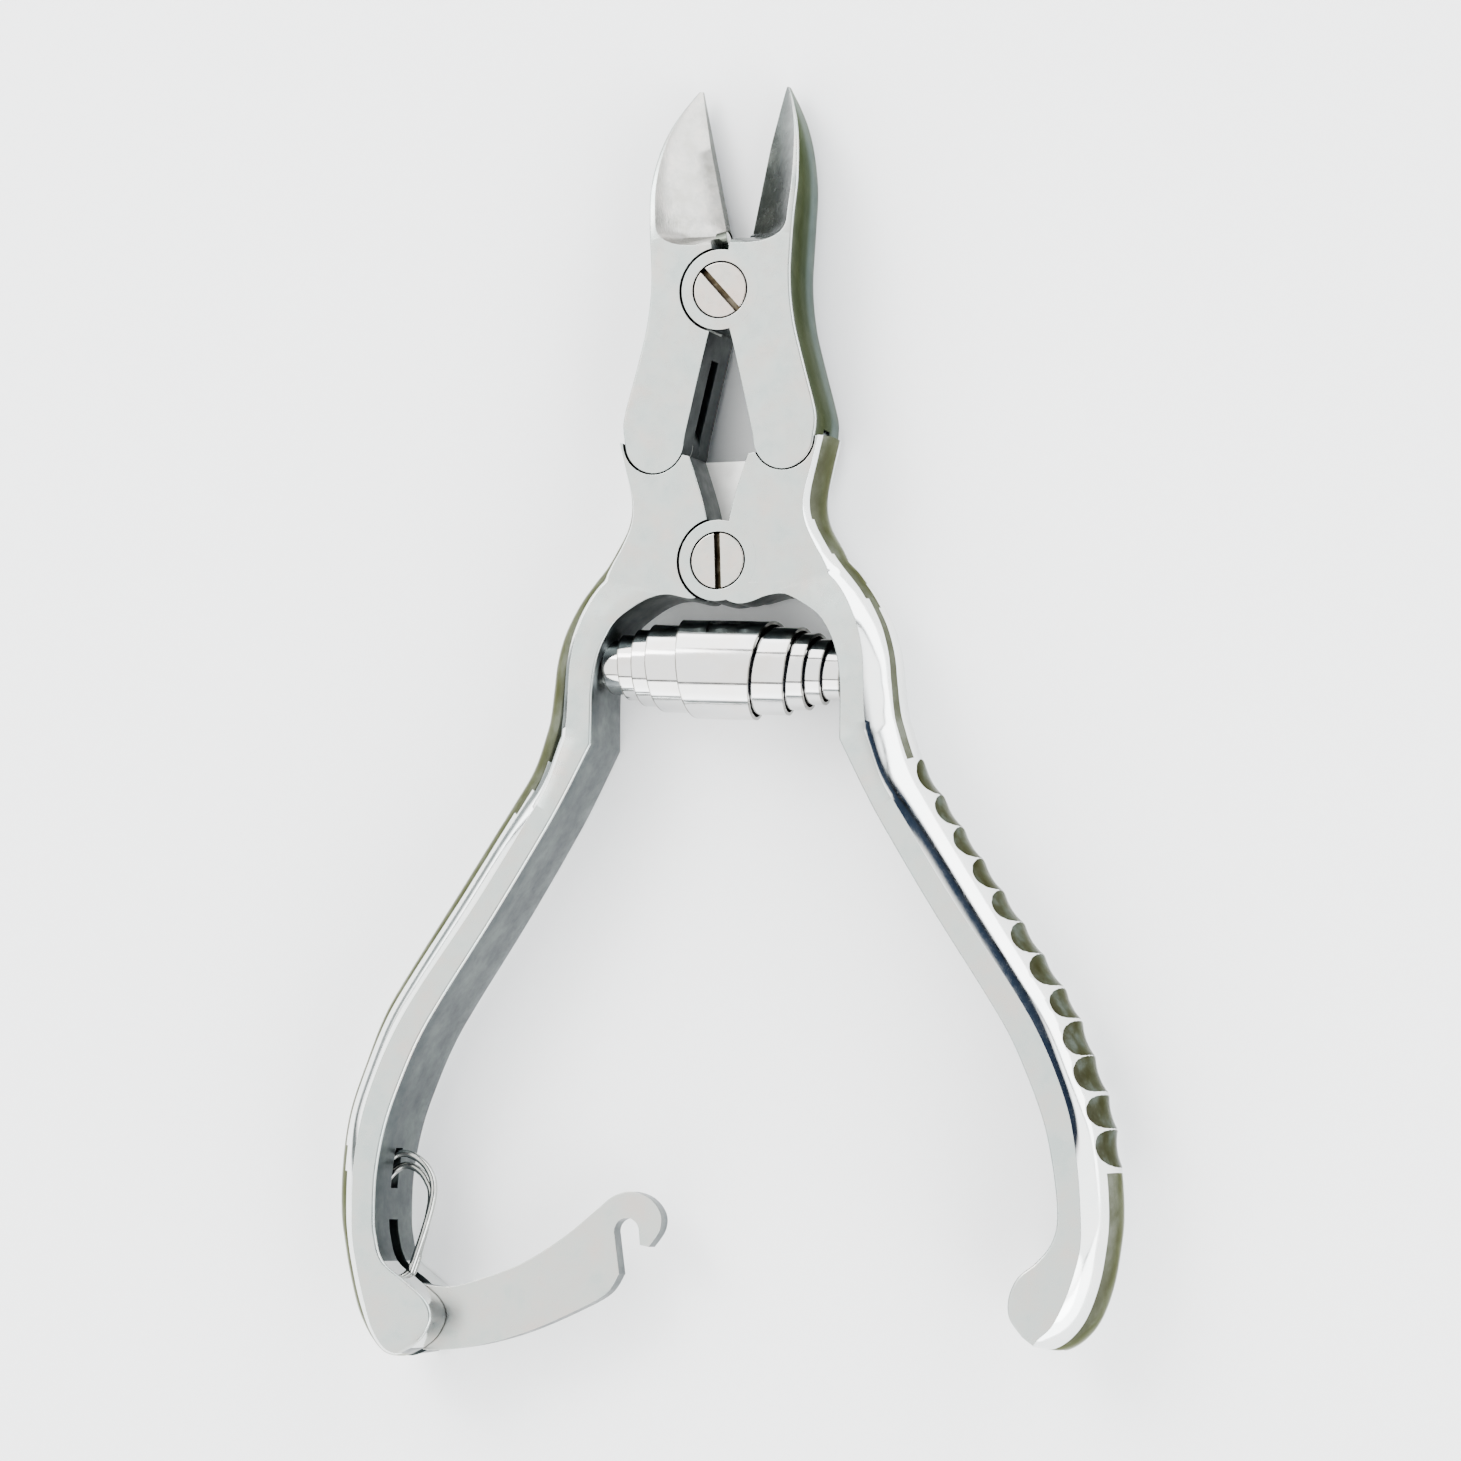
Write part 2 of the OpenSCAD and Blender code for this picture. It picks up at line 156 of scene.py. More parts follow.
def steel(
    name, stops, rough, mottle=260.0, grain=(1, 1, 1), turn=0.0,
    grain_depth=0.012, round_off=0.10, height_painted_light=None, edge=None,
):
    """Stainless steel: mottled tint, roughness that varies, a brushed grain and rounded-off edges.

    The list of (height, factor) for painted light and shade multiplies the tint from back to front,
    and edge is the tint that the steel takes on when it is seen at a glance.
    """
    mat = bpy.data.materials.new(name)
    mat.use_nodes = True
    nodes, link = links(mat)
    shader = nodes["Principled BSDF"]
    shader.inputs["Metallic"].default_value = 1.0
    if edge:
        shader.inputs["Specular Tint"].default_value = (*edge, 1.0)
    where = nodes.new("ShaderNodeTexCoord").outputs["Object"]
    patches = noise(nodes, link, where, mottle, 6.0)
    tint = ramp(nodes, link, patches, stops)
    # Painted light and shade: a ramp over the piece's height multiplies the tint.
    if height_painted_light:
        apart = nodes.new("ShaderNodeSeparateXYZ")
        link.new(where, apart.inputs["Vector"])
        height = span(nodes, link, apart.outputs["Z"], 0.0, 1.0, height_painted_light[0][0] * MM, height_painted_light[-1][0] * MM)
        reach = height_painted_light[-1][0] - height_painted_light[0][0]
        shade = ramp(nodes, link, height, [((z - height_painted_light[0][0]) / reach, colour) for z, colour in height_painted_light])
        tint = multiply(nodes, link, tint, shade)
    link.new(tint, shader.inputs["Base Color"])
    haze = noise(nodes, link, where, mottle * 2.7, 3.0)
    link.new(span(nodes, link, haze, rough[0], rough[1]), shader.inputs["Roughness"])
    fine = noise(nodes, link, where, 5200.0, 2.0, grain, turn)
    bump = nodes.new("ShaderNodeBump")
    bump.inputs["Strength"].default_value = 0.35
    bump.inputs["Distance"].default_value = grain_depth * MM
    link.new(fine, bump.inputs["Height"])
    if round_off:
        bevel = nodes.new("ShaderNodeBevel")
        bevel.samples = 6
        bevel.inputs["Radius"].default_value = round_off * MM
        link.new(bevel.outputs["Normal"], bump.inputs["Normal"])
    link.new(bump.outputs["Normal"], shader.inputs["Normal"])
    return mat


SATIN = steel(
    "satin_front",
    [
        (0.34, (0.43, 0.412, 0.385)), (0.43, (0.405, 0.418, 0.398)),
        (0.54, (0.39, 0.424, 0.41)), (0.66, (0.35, 0.40, 0.39)),
    ],
    (0.24, 0.34),
)
# Ground finish on the walls, with painted shade: the very dark tint stands in for the dark surroundings
# that the walls mirror.
WALL_GROUND_AND_SHADE = steel(
    "ground_wall_and_painted_shade",
    patchy((0.036, 0.046, 0.049), (0.05, 0.062, 0.064), (0.078, 0.093, 0.091)),
    (0.28, 0.42),
    grain=(0.25, 0.25, 1),
)
CROWN = steel(
    "polished_crown",
    patchy((0.70, 0.73, 0.72), (0.74, 0.755, 0.745), (0.77, 0.77, 0.75)),
    (0.08, 0.14),
    grain_depth=0.005,
)
# Painted reflection: a dark olive band on the polished crown that stands in for the dark surroundings it
# mirrors.
CREST_REFLECTION = steel(
    "crest_painted_reflection",
    patchy((0.050, 0.052, 0.036), (0.066, 0.070, 0.051), (0.10, 0.106, 0.085)),
    (0.12, 0.2),
    grain_depth=0.005,
    edge=(0.52, 0.53, 0.45),
)
# Painted shade: near-black steel on the walls of the narrow gaps between parts, where shade falls.
GAP_SHADE = steel(
    "gap_painted_shade",
    [(0.36, (0.006, 0.005, 0.004)), (0.64, (0.014, 0.012, 0.010))],
    (0.5, 0.7),
    round_off=0.0,
)
# Painted light on the milled scallops: a very dark tint for the dark surroundings they mirror, lightened
# and blued towards the back for the light streak along each ridge.
SCALLOP_PAINTED_LIGHT = steel(
    "milled_scallop_painted_light",
    patchy((0.026, 0.026, 0.0165), (0.038, 0.040, 0.029), (0.068, 0.078, 0.074)),
    (0.16, 0.26),
    mottle=420.0,
    grain=(1, 1, 0.05),
    height_painted_light=[
        (0.5, (2.7, 3.1, 3.5)), (3.5, (1.7, 1.85, 1.95)),
        (5.8, (1.0, 1.02, 0.95)), (8.5, (0.75, 0.75, 0.66)),
    ],
    edge=(0.5, 0.5, 0.46),
    round_off=0.2,
)
SCREW = steel(
    "screw_head",
    patchy((0.47, 0.405, 0.36), (0.45, 0.42, 0.385), (0.41, 0.415, 0.385)),
    (0.24, 0.36),
    mottle=420.0,
)
# Painted shade: dark brown in the screws' slots, where shade falls.
SLOT_PAINTED_SHADE = steel(
    "screw_slot_painted_shade",
    patchy((0.02, 0.013, 0.006), (0.05, 0.039, 0.024), (0.10, 0.086, 0.062)),
    (0.35, 0.5),
    mottle=700.0,
    round_off=0.0,
)
STRIP = steel(
    "rolled_strip",
    patchy((0.56, 0.565, 0.57), (0.60, 0.60, 0.595), (0.58, 0.555, 0.535)),
    (0.05, 0.11),
    mottle=200.0,
    grain=(0.08, 1, 1),
    grain_depth=0.004,
    round_off=0.0,
)
# Painted shade: darker hems along the strip's two edges, for the thin dark lines its turned edges show.
STRIP_EDGE_SHADE = steel(
    "rolled_strip_hem_painted_shade",
    patchy((0.13, 0.125, 0.11), (0.20, 0.195, 0.18), (0.30, 0.295, 0.28)),
    (0.1, 0.2),
    mottle=600.0,
    round_off=0.0,
)
WIRE = steel(
    "spring_wire",
    patchy((0.27, 0.28, 0.265), (0.34, 0.345, 0.33), (0.42, 0.42, 0.40)),
    (0.12, 0.2),
    mottle=500.0,
    round_off=0.0,
)
SCOOP = steel(
    "hollow_grind",
    patchy((0.225, 0.22, 0.20), (0.26, 0.255, 0.24), (0.30, 0.285, 0.265)),
    (0.14, 0.24),
    mottle=330.0,
    grain=(1, 0.2, 1),
    turn=0.6,
    round_off=0.05,
)
# Painted shade: a darker copy of the hollow grind for the right jaw, whose hollow faces away and mirrors
# the shaded blade and floor.
HOLLOW_PAINTED_SHADE = steel(
    "hollow_grind_painted_shade",
    [(0.36, (0.072, 0.083, 0.078)), (0.5, (0.098, 0.112, 0.107)), (0.66, (0.15, 0.165, 0.155))],
    (0.18, 0.3),
    mottle=330.0,
    grain=(1, 0.2, 1),
    turn=-0.6,
    round_off=0.05,
)
# Painted light on the jaws' outer walls: light and bluish at the back, dark olive across the middle and
# lighter again at the front, standing in for mirrored surroundings.
JAW_WALL_PAINTED_LIGHT = steel(
    "jaw_wall_painted_light",
    patchy((0.13, 0.15, 0.15), (0.16, 0.182, 0.18), (0.20, 0.22, 0.21)),
    (0.16, 0.26),
    grain=(0.25, 0.25, 1),
    height_painted_light=[
        (0.0, (1.0, 1.0, 1.0)), (1.6, (0.85, 0.93, 1.0)), (3.0, (0.28, 0.30, 0.25)),
        (5.0, (0.20, 0.205, 0.14)), (6.6, (0.26, 0.26, 0.19)), (8.0, (0.42, 0.42, 0.36)),
    ],
    edge=(0.5, 0.52, 0.46),
)
EDGE_LAND = steel(
    "edge_land",
    patchy((0.062, 0.071, 0.058), (0.085, 0.095, 0.08), (0.12, 0.13, 0.115)),
    (0.2, 0.3),
    round_off=0.03,
)
PLATE = steel(
    "latch_plate",
    [
        (0.34, (0.43, 0.40, 0.375)), (0.44, (0.41, 0.41, 0.39)),
        (0.55, (0.40, 0.417, 0.40)), (0.66, (0.36, 0.40, 0.385)),
    ],
    (0.26, 0.36),
    mottle=300.0,
    round_off=0.14,
)
# Painted light: the web's tint is much brighter than the satin front to undo the shade of the walls round
# it.
WEB_PAINTED_LIGHT = steel(
    "thin_web_painted_light",
    patchy((0.72, 0.72, 0.70), (0.78, 0.785, 0.765), (0.84, 0.84, 0.82)),
    (0.42, 0.55),
)
# Places in the lists of skins. The first two and the gap are in the same place in all three.
FLAT_SKIN = 0
WALL_SKIN = 1
CROWN_SKIN = 2
SCALLOP_SKIN = 3
GAP_SKIN = 4
CREST_REFLECTION_SKIN = 5
WEB_SKIN = 6
HANDLE_SKINS = [SATIN, WALL_GROUND_AND_SHADE, CROWN, SCALLOP_PAINTED_LIGHT, GAP_SHADE, CREST_REFLECTION, WEB_PAINTED_LIGHT]
HOLLOW_SKIN = 2
LAND_SKIN = 3
OUTER_SKIN = 5
PEG_END_SKIN = 6
JAW_SKINS = [SATIN, WALL_GROUND_AND_SHADE, SCOOP, EDGE_LAND, GAP_SHADE, JAW_WALL_PAINTED_LIGHT, CROWN]
RIGHT_JAW_SKINS = [SATIN, WALL_GROUND_AND_SHADE, HOLLOW_PAINTED_SHADE, EDGE_LAND, GAP_SHADE, JAW_WALL_PAINTED_LIGHT]
SCREW_SKINS = [SCREW, SLOT_PAINTED_SHADE]
PLATE_SKINS = [PLATE, WALL_GROUND_AND_SHADE]

# ---------------------------------------------------------------- mesh tools


def curve_point(a, b, c, d, t):
    """Point at share t of the smooth curve from b to c, with a before them and d after them."""
    return [
        0.5 * (2 * q + (r - p) * t + (2 * p - 5 * q + 4 * r - s) * t * t + (3 * q - p - 3 * r + s) * t ** 3)
        for p, q, r, s in zip(a, b, c, d)
    ]


def smooth(rows, count):
    """Rows filled in along the smooth curve through them."""
    last = len(rows) - 1
    out = []
    for i in range(last):
        near = (rows[max(i - 1, 0)], rows[i], rows[i + 1], rows[min(i + 2, last)])
        for k in range(count):
            out.append(curve_point(*near, k / count))
    out.append(list(rows[last]))
    return out


def new_object(name, verts, faces, mats, indices=None):
    mesh = bpy.data.meshes.new(name)
    mesh.from_pydata(verts, [], faces)
    for mat in mats:
        mesh.materials.append(mat)
    if indices:
        mesh.polygons.foreach_set("material_index", indices)
    mesh.update()
    obj = bpy.data.objects.new(name, mesh)
    bpy.context.scene.collection.objects.link(obj)
    return obj


def skin(name, rings, mats, columns):
    """Solid over closed rings, each with the same number of points.

    columns is the material of each strip along the solid, or one such list for each ring.
    """
    n = len(rings[0])
    verts = [p for ring in rings for p in ring]
    faces, indices = [], []
    changing = isinstance(columns[0], list)
    for i in range(len(rings) - 1):
        of_ring = columns[i] if changing else columns
        for j in range(n):
            a, b = i * n + j, i * n + (j + 1) % n
            faces.append((a, b, b + n, a + n))
            indices.append(of_ring[j])
    faces.append(tuple(range(n - 1, -1, -1)))
    faces.append(tuple((len(rings) - 1) * n + j for j in range(n)))
    end_skin = WALL_SKIN if changing else columns[0]
    indices += [end_skin, end_skin]
    return new_object(name, verts, faces, mats, indices)


def prism(name, outline, z0, z1, mats, top=0, side=0):
    """Plate with an outline in X and Y; top is the material of its two flats and side of its wall."""
    n = len(outline)
    verts = [(x, y, z0) for x, y in outline] + [(x, y, z1) for x, y in outline]
    faces = [tuple(range(n - 1, -1, -1)), tuple(range(n, 2 * n))]
    faces += [(i, (i + 1) % n, n + (i + 1) % n, n + i) for i in range(n)]
    return new_object(name, verts, faces, mats, [top, top] + [side] * n)


def circle(centre, r, count=96):
    angles = [2 * math.pi * k / count for k in range(count)]
    return [(centre[0] + r * math.cos(a), centre[1] + r * math.sin(a)) for a in angles]


def turned(centre, x, y, angle):
    """The point (x, y), turned by an angle and moved to a centre."""
    return (
        centre[0] + x * math.cos(angle) - y * math.sin(angle),
        centre[1] + x * math.sin(angle) + y * math.cos(angle),
    )


def disc(name, centre, r, z0, z1, mats, top=0, side=0, count=96):
    return prism(name, circle(centre, r, count), z0, z1, mats, top, side)


def block(name, outline, z0, z1, mats, index=WALL_SKIN):
    return prism(name, outline, z0, z1, mats, index, index)


def rod_x(name, centre, r, x0, x1, mats, index=0, count=64):
    """Cylinder along X about the point centre = (y, z)."""
    rings = []
    for x in (x0, x1):
        rings.append([(x, p[0], p[1]) for p in circle(centre, r, count)])
    return skin(name, rings, mats, [index] * count)


def face_outwards(obj):
    """Turns the faces of a closed solid outwards."""
    mesh = obj.data
    volume = 0.0
    for poly in mesh.polygons:
        pts = [mesh.vertices[v].co for v in poly.vertices]
        for i in range(1, len(pts) - 1):
            volume += pts[0].dot(pts[i].cross(pts[i + 1]))
    if volume < 0:
        mesh.flip_normals()


def combine(obj, tool, how):
    """Joins tool on to obj ("UNION") or takes it away ("DIFFERENCE"), and removes tool."""
    face_outwards(obj)
    face_outwards(tool)
    mod = obj.modifiers.new("cut", "BOOLEAN")
    mod.operation = how
    mod.solver = "EXACT"
    mod.object = tool
    bpy.context.view_layer.update()
    evaluated = obj.evaluated_get(bpy.context.evaluated_depsgraph_get())
    mesh = bpy.data.meshes.new_from_object(evaluated)
    obj.modifiers.clear()
    old = obj.data
    obj.data = mesh
    bpy.data.meshes.remove(old)
    bpy.data.objects.remove(tool)


def cut(obj, tool):
    combine(obj, tool, "DIFFERENCE")


def join(obj, tool):
    combine(obj, tool, "UNION")


# A face is a flat front or back face when its normal is this near to upright.
FLAT_NORMAL = 0.9995


def mark_edges(mesh, sharp):
    """Smooth shading, broken at sharp edges and round every flat front or back face."""
    work = bmesh.new()
    work.from_mesh(mesh)
    for face in work.faces:
        face.smooth = True
    for edge in work.edges:
        if len(edge.link_faces) != 2:
            continue
        a, b = edge.link_faces
        flat_a, flat_b = abs(a.normal.z) > FLAT_NORMAL, abs(b.normal.z) > FLAT_NORMAL
        edge.smooth = a.normal.angle(b.normal, 0.0) < sharp and flat_a == flat_b
    work.to_mesh(mesh)
    work.free()
    mesh.update()


def put_in(obj, body, nodes, sharp=28.0):
    """Finishes a piece: metres, shading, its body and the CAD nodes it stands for."""
    face_outwards(obj)
    mesh = obj.data
    mesh.transform(Matrix.Diagonal((MM, MM, MM, 1)))
    mark_edges(mesh, math.radians(sharp))
    if body:
        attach(obj, body)
    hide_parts(*nodes)


def lathe(name, profile, mats, indices, origin, axis="Z", count=72):
    """Solid turned from a profile of (radius, place along the axis), with a flat disc at each end."""
    verts, faces, mat_of = [], [], []
    n = len(profile)
    for r, a in profile:
        for k in range(count):
            t = 2 * math.pi * k / count
            x, y = r * math.cos(t), r * math.sin(t)
            verts.append((a, x, y) if axis == "X" else (x, y, a))
    for i in range(n - 1):
        for k in range(count):
            a, b = i * count + k, i * count + (k + 1) % count
            faces.append((a, b, b + count, a + count))
            mat_of.append(indices[i])
    faces.append(tuple(range(count - 1, -1, -1)))
    faces.append(tuple((n - 1) * count + k for k in range(count)))
    mat_of += [indices[0], indices[-1]]
    obj = new_object(name, verts, faces, mats, mat_of)
    obj.data.transform(Matrix.Translation(origin))
    return obj


# ---------------------------------------------------------------- handles

# Rows of the right handle: inner x and y, outer x and y, width of the front flat, thickness.
TOP_ROWS = [
    [3.35, 11.4, 12.0, 13.3, 8.3, 8.0],
    [2.5, 8.9, 11.05, 9.2, 7.8, 8.0],
    [1.7, 6.3, 10.7, 6.3, 7.95, 8.0],
    [1.2, 3.8, 11.2, 3.9, 8.7, 8.0],
    [1.2, 1.0, 12.7, 1.3, 9.9, 8.0],
    [1.5, -2.2, 13.4, 0.2, 10.6, 8.0],
    [2.6, -4.0, 14.1, -0.6, 10.2, 8.0],
    [5.6, -3.5, 14.8, -1.3, 7.2, 8.0],
    [7.6, -3.8, 15.5, -2.2, 5.9, 8.1],
    [9.6, -4.8, 16.5, -3.5, 4.8, 8.3],
    [11.6, -6.3, 17.6, -5.3, 3.7, 8.6],
    [12.9, -8.4, 18.7, -7.6, 3.2, 8.8],
    [13.7, -10.8, 19.5, -10.5, 2.9, 9.0],
    [14.05, -13.5, 19.85, -13.5, 2.7, 9.2],
    [14.1, -16.5, 20.2, -16.2, 2.75, 9.3],
    [14.1, -19.6, 20.6, -17.8, 3.0, 9.5],
]
GRIP_ROWS = [
    [14.1, -19.6, 20.6, -17.8, 3.0, 9.5],
    [16.9, -25.0, 22.0, -21.85, 2.3, 9.9],
    [19.3, -29.2, 24.45, -25.9, 2.4, 10.2],
    [24.8, -38.0, 30.05, -34.5, 2.5, 10.7],
    [30.5, -46.6, 35.85, -43.3, 2.8, 11.0],
    [33.3, -51.2, 38.85, -48.2, 2.9, 11.0],
    [35.4, -55.8, 40.95, -53.45, 3.0, 11.0],
    [37.1, -60.5, 42.85, -58.9, 2.9, 11.0],
    [38.1, -65.5, 43.8, -64.6, 2.7, 11.0],
]
FOOT_ROWS = [
    [38.5, -70.0, 44.1, -69.8, 2.6, 11.0],
    [37.9, -72.6, 43.7, -73.6, 3.2, 11.0],
    [36.3, -74.6, 43.0, -77.2, 4.3, 11.0],
    [34.3, -76.2, 41.7, -80.6, 5.7, 11.0],
    [33.3, -78.2, 40.0, -82.7, 5.6, 10.9],
    [33.3, -80.4, 38.1, -83.8, 3.9, 10.7],
    [34.6, -82.3, 36.5, -83.7, 1.7, 10.4],
]
FORK_ROWS = [
    [38.3, -70.0, 43.9, -69.8, 2.6, 11.0],
    [38.1, -72.6, 43.3, -73.6, 2.7, 11.0],
    [37.2, -75.3, 42.7, -76.6, 3.1, 11.0],
    [34.6, -77.4, 41.6, -80.6, 5.2, 11.0],
    [32.2, -79.4, 40.1, -83.3, 6.9, 11.0],
    [31.5, -81.3, 38.3, -85.2, 6.4, 11.0],
    [32.4, -83.3, 36.6, -85.6, 3.9, 10.8],
    [33.9, -84.6, 35.3, -85.3, 1.2, 10.4],
]
CROWN_STEPS = 22
LIP_STEPS = 4
# Where the crown leaves the front flat, in degrees from upright: along the grip, and what is added
# above the inner corner and round the end.
CROWN_GRIP = 9
CROWN_TOP = 24
CROWN_END = 22
CORNER_Y = -34
END_Y = -60
SCALLOPED = (-66, -24)
POLISHED_Y = -75.2
# The band of painted dark olive reflection on the crown widens upwards from here, over this length.
UPPER_FROM = -8
UPPER_RUN = 14


def ease(t):
    t = min(max(t, 0.0), 1.0)
    return t * t * (3 - 2 * t)


def reflection_band(side, y):
    """Where the crown gets its painted dark olive reflection, in degrees from upright; both the same where
    it isn't.
    """
    if side < 0:
        return (38, 80)
    if SCALLOPED[0] < y < SCALLOPED[1]:
        return (0, 0)
    if y < END_Y:
        return (58, 98)
    upper = ease((y - UPPER_FROM) / UPPER_RUN)
    return (60 - 12 * upper, 73 + 35 * upper)


def handle_section(flat, width, h, lip, crown_from, painted_band):
    """Section as [distance from the inner wall, height, material of the strip that follows]."""
    crown = width - flat
    pts = [(0, -h + lip, WALL_SKIN), (0, -h / 3, WALL_SKIN), (0, h / 3, WALL_SKIN)]
    for k in range(LIP_STEPS):
        a = math.pi / 2 * k / LIP_STEPS
        pts.append((lip - lip * math.cos(a), h - lip + lip * math.sin(a), FLAT_SKIN))
    pts += [(lip, h, FLAT_SKIN), (flat / 2, h, FLAT_SKIN)]
    for k in range(CROWN_STEPS + 1):
        a = crown_from + (math.pi - 2 * crown_from) * k / CROWN_STEPS
        x = flat + crown * (math.sin(a) - math.sin(crown_from)) / (1 - math.sin(crown_from))
        # Painted reflection: strips inside the band take the dark olive tint.
        index = CREST_REFLECTION_SKIN if painted_band[0] < math.degrees(a) < painted_band[1] else CROWN_SKIN
        if k == CROWN_STEPS:
            index = FLAT_SKIN
        pts.append((x, h * math.cos(a) / math.cos(crown_from), index))
    pts.append((lip, -h, FLAT_SKIN))
    for k in range(1, LIP_STEPS):
        a = math.pi / 2 * k / LIP_STEPS
        pts.append((lip - lip * math.sin(a), -h + lip - lip * math.cos(a), FLAT_SKIN))
    return pts


def handle_bar(name, end_rows, side):
    """The forging of one handle, before its joints are cut; side is 1 for the right and -1 for the left."""
    inner = smooth(TOP_ROWS, 8) + smooth(GRIP_ROWS + end_rows, 8)[1:]
    outer = smooth(TOP_ROWS + GRIP_ROWS[1:] + end_rows, 8)
    rows = [a[:2] + b[2:] for a, b in zip(inner, outer)]
    rings, columns = [], []
    for xi, yi, xo, yo, flat, thick in rows:
        width = math.hypot(xo - xi, yo - yi)
        ux, uy = (xo - xi) / width, (yo - yi) / width
        lip = 0.10 + 0.22 * min(max((thick - BOX_T) / 2.0, 0.0), 1.0)
        lip = min(lip, 0.3 * width)
        above, below = ease((yi - CORNER_Y) / 12), ease((END_Y - yi) / 8)
        crown_from = math.radians(CROWN_GRIP + CROWN_TOP * above + CROWN_END * below)
        flat = min(flat, width * 0.92)
        section = handle_section(flat, width, thick / 2, lip, crown_from, reflection_band(side, yi))
        wall = CROWN_SKIN if yi < POLISHED_Y else WALL_SKIN
        columns.append([wall if p[2] == WALL_SKIN else p[2] for p in section])
        rings.append([(side * (xi + ux * s), yi + uy * s, MID + z) for s, z, _ in section])
    return skin(name, rings, HANDLE_SKINS, columns)


SEAT_R = 3.2
SEAT_DEPTH = 3


def handle(name, end_rows, side, own, other):
    """own holds the heights of this handle's lap, other those of the room for the lap it turns on."""
    skins = HANDLE_SKINS
    knuckle = (side * KNUCKLE[0], KNUCKLE[1])
    tongue = (MID - TONGUE_T / 2, MID + TONGUE_T / 2)
    obj = handle_bar(name, end_rows, side)
    cut(obj, disc("cutter", knuckle, SOCKET_R, UNDER, tongue[0], skins, FLAT_SKIN, GAP_SKIN))
    cut(obj, disc("cutter", knuckle, SOCKET_R, tongue[1], OVER, skins, FLAT_SKIN, GAP_SKIN))
    cut(obj, disc("cutter", PIVOT, RECESS_R, *other, skins, FLAT_SKIN, GAP_SKIN))
    join(obj, disc("boss", PIVOT, BOSS_R, *own, skins, FLAT_SKIN, WALL_SKIN))
    join(obj, disc("tongue", knuckle, KNUCKLE_R, *tongue, skins, FLAT_SKIN, WALL_SKIN))
    cut(obj, disc("cutter", knuckle, PIN_R + RUN_GAP, UNDER, OVER, skins, WALL_SKIN, WALL_SKIN, 48))
    seat = (SPRING_Y, MID)
    seat_x = (side * (SEAT_X - SEAT_DEPTH), side * SEAT_X)
    hole_x = (side * (SEAT_X - 0.5), side * (SEAT_X + 2))
    cut(obj, rod_x("cutter", seat, SEAT_R, *seat_x, skins, WALL_SKIN))
    cut(obj, rod_x("cutter", seat, STUD_R, *hole_x, skins, WALL_SKIN, 40))
    return obj


def screw_hole(obj, centre, skins):
    """Running hole for a screw's shank, and a recess for its head."""
    cut(obj, disc("cutter", centre, SHANK_R + RUN_GAP, UNDER, OVER, skins, WALL_SKIN, WALL_SKIN, 64))
    cut(obj, disc("cutter", centre, HEAD_R + HEAD_GAP, HEAD_SEAT_Z, OVER, skins, GAP_SKIN, GAP_SKIN))


right = handle("right_handle_forged", FOOT_ROWS, 1, FRONT_LAP, UNDER_FRONT_LAP)
# The front lap runs on below its boss in one smooth line.
hip = smooth(
    [[0.2, -3.6], [1.3, -4.4], [2.6, -4.72], [4.0, -4.5], [5.4, -4.0], [7.0, -3.76], [8.2, -3.9]],
    6,
)
hip += [[8.2, -2.5], [0.2, -2.5]]
join(right, prism("hip", hip, *FRONT_LAP, HANDLE_SKINS, FLAT_SKIN, WALL_SKIN))
screw_hole(right, PIVOT, HANDLE_SKINS)

# Twelve scallops milled across the crown of the right grip, spaced along its outer edge.
outer_edge = [(r[2], r[3]) for r in smooth(GRIP_ROWS, 6)]
run = [0.0]
for p, q in zip(outer_edge, outer_edge[1:]):
    run.append(run[-1] + math.dist(p, q))


def along_edge(s):
    """Point at length s along the grip's outer edge."""
    for i in range(1, len(run)):
        if run[i] >= s or i == len(run) - 1:
            t = (s - run[i - 1]) / (run[i] - run[i - 1])
            p, q = outer_edge[i - 1], outer_edge[i]
            return (p[0] + (q[0] - p[0]) * t, p[1] + (q[1] - p[1]) * t)
    return outer_edge[-1]


GROOVES = 12
GROOVE_R = 6.0
GROOVE_DEPTH = 0.34
GROOVE_FLARE = 0.056
GROOVE_START = 6.4
GROOVE_PITCH = 4.05
waist = [(GROOVE_R + GROOVE_FLARE * z * z, z) for z in range(-7, 8)]
for k in range(GROOVES):
    s = GROOVE_START + GROOVE_PITCH * k
    p, q = along_edge(s), along_edge(s + 0.5)
    d = math.dist(p, q)
    out = (-(q[1] - p[1]) / d, (q[0] - p[0]) / d)
    lift = GROOVE_R - GROOVE_DEPTH
    place = (p[0] + out[0] * lift, p[1] + out[1] * lift, MID)
    cut(right, lathe("cutter", waist, HANDLE_SKINS, [SCALLOP_SKIN] * len(waist), place, count=96))

# The foot's slot for the latch plate.
slot_z = (MID - 1.25, MID + 1.25)
cut(right, block("cutter", [(26, -90), (36, -90), (36, -74.5), (26, -74.5)], *slot_z, HANDLE_SKINS))
cut(right, disc("cutter", CATCH, 4.9, *slot_z, HANDLE_SKINS, WALL_SKIN, WALL_SKIN, 64))
put_in(right, "right_handle", ["right_handle"])

left = handle("left_handle_forged", FORK_ROWS, -1, BACK_LAP, OVER_BACK_LAP)
# A thin web behind the gap between the two handles.
web = [(-3.6, 11.4), (-1.6, 3.4), (1.05, 4.3), (1.5, 6.3), (2.3, 8.9), (3.1, 11.4)]
join(left, block("web", web, 0, 2.6, HANDLE_SKINS, WEB_SKIN))
# The fork for the latch plate, and the slot that holds the ends of the latch spring.
fork = [(-39.9, -70.8), (-38.7, -81), (-37.6, -88), (-27, -88), (-27, -70.8)]
cut(left, block("cutter", fork, *slot_z, HANDLE_SKINS))
wire_slot = [(-41, -63), (-41, -67.4), (-36, -67.4), (-36, -63)]
cut(left, block("cutter", wire_slot, MID - 0.95, MID + 0.95, HANDLE_SKINS))
put_in(left, "left_handle", ["left_handle"])

# ---------------------------------------------------------------- jaws

